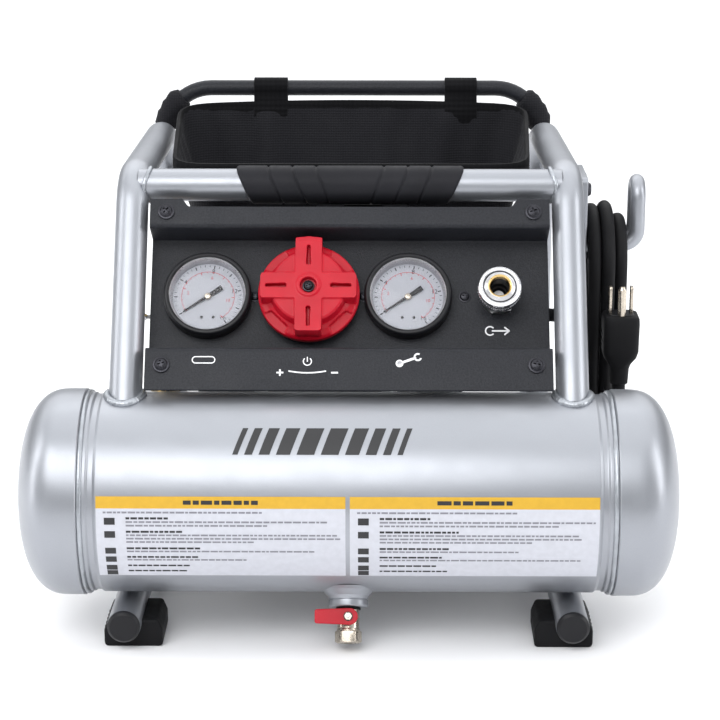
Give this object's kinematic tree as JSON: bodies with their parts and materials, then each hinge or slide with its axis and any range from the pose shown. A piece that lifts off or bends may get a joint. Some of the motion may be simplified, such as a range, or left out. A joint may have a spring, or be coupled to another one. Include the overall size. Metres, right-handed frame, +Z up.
{
  "type": "portable air compressor",
  "caption": "Portable oil-free air compressor: horizontal tank, bent tube side frames, leaning gauge panel, regulator, quick coupler, ball drain, tool bag and hanging cord.",
  "frame": {"origin": "on the floor under the middle of the object's box, without the cord", "axes": "+Z up; +X along the tank, towards the cord hook; -Y is the control panel's side"},
  "size_m": [0.3766, 0.3148, 0.283],
  "materials": {
    "silver_paint": "metallic silver, semi-gloss",
    "bare_steel": "plated, satin",
    "cast_aluminium": "as cast",
    "brass": "machined",
    "chrome": "polished",
    "panel_black": "fine-textured powder coat",
    "black_plastic": "moulded, satin",
    "black_rubber": "matte",
    "red_plastic": "moulded, semi-gloss",
    "black_fabric": "woven nylon",
    "clear_lens": "clear, polished",
    "copper": "bare copper"
  },
  "bodies": {
    "frame": {"bag_frame": "black_plastic", "base_plate": "panel_black", "check_valve": "brass", "control_panel": "panel_black", "cord_hank": "black_rubber", "cord_hook": "silver_paint", "cord_lead": "black_rubber", "cord_tail": "black_rubber", "coupler_body": "chrome", "crankcase": "cast_aluminium", "cylinder": "cast_aluminium", "cylinder_head": "cast_aluminium", "discharge_tube": "copper", "drain_boss": "silver_paint", "drain_valve_body": "brass", "fan_shroud": "black_plastic", "foot_cap_left": "black_plastic", "foot_cap_right": "black_plastic", "foot_front_left": "black_rubber", "foot_front_right": "black_rubber", "foot_rear_left": "black_rubber", "foot_rear_right": "black_rubber", "handle_grip": "black_rubber", "handle_tube": "silver_paint", "intake_filter": "black_plastic", "manifold": "cast_aluminium", "motor_housing": "black_plastic", "motor_mount": "panel_black", "motor_stator": "copper", "panel_screw_lower_left": "bare_steel", "panel_screw_lower_right": "bare_steel", "panel_screw_upper_left": "bare_steel", "panel_screw_upper_right": "bare_steel", "plug": "black_rubber", "pressure_switch": "black_plastic", "regulator_body": "cast_aluminium", "relief_valve": "brass", "side_frame_left": "silver_paint", "side_frame_right": "silver_paint", "strain_relief": "black_rubber", "tank_gauge_case": "black_plastic", "tank_gauge_lens": "clear_lens", "tank_head_left": "silver_paint", "tank_head_right": "silver_paint", "tank_shell": "silver_paint", "tool_bag": "black_fabric", "tool_gauge_case": "black_plastic", "tool_gauge_lens": "clear_lens"},
    "knob": {"regulator_knob": "red_plastic"},
    "tank_pointer": {"tank_gauge_pointer": "black_plastic"},
    "tool_pointer": {"tool_gauge_pointer": "black_plastic"},
    "drain_handle": {"drain_lever": "red_plastic", "drain_ball": "chrome"},
    "sleeve": {"coupler_sleeve": "chrome"},
    "relief_pull": {"relief_ring": "bare_steel"},
    "rocker": {"power_rocker": "black_plastic"},
    "rotor": {"rotor_shaft": "bare_steel", "fan": "black_plastic", "crank_eccentric": "bare_steel"},
    "piston": {"piston_rod": "cast_aluminium"}
  },
  "joints": [
    {"name": "regulator_turn", "type": "hinge", "parent": "frame", "child": "knob", "pos_m": [-0.0235, -0.06242, 0.19292], "axis": [0, -0.8241, 0.5664], "range_deg": [-540, 540]},
    {"name": "tank_needle", "type": "hinge", "parent": "frame", "child": "tank_pointer", "pos_m": [-0.0825, -0.05516, 0.18794], "axis": [0, -0.8241, 0.5664], "range_deg": [-270, 0], "stiffness_Nm_per_rad": 0.0005},
    {"name": "tool_needle", "type": "hinge", "parent": "frame", "child": "tool_pointer", "pos_m": [0.034, -0.05516, 0.18794], "axis": [0, -0.8241, 0.5664], "range_deg": [-270, 0], "stiffness_Nm_per_rad": 0.0005},
    {"name": "drain_turn", "type": "hinge", "parent": "frame", "child": "drain_handle", "pos_m": [0, -0.13101, 0.0184], "axis": [0, -0.891, 0.454], "range_deg": [0, 90]},
    {"name": "sleeve_pull", "type": "slide", "parent": "frame", "child": "sleeve", "axis": [0, -0.8241, 0.5664], "range_m": [-0.0032, 0], "stiffness_N_per_m": 400, "springref_m": 0.004},
    {"name": "relief_lift", "type": "slide", "parent": "frame", "child": "relief_pull", "axis": [-1, 0, 0], "range_m": [0, 0.003], "stiffness_N_per_m": 400, "springref_m": -0.003},
    {"name": "power_switch", "type": "hinge", "parent": "frame", "child": "rocker", "pos_m": [0.0075, -0.0116, 0.2339], "axis": [-1, 0, 0], "range_deg": [0, 18]},
    {"name": "motor_spin", "type": "hinge", "parent": "frame", "child": "rotor", "pos_m": [0, 0.0539, 0.088], "axis": [1, 0, 0], "continuous": true},
    {"name": "piston_stroke", "type": "slide", "parent": "frame", "child": "piston", "axis": [0, 0, 1], "range_m": [-0.012, 0]}
  ]
}
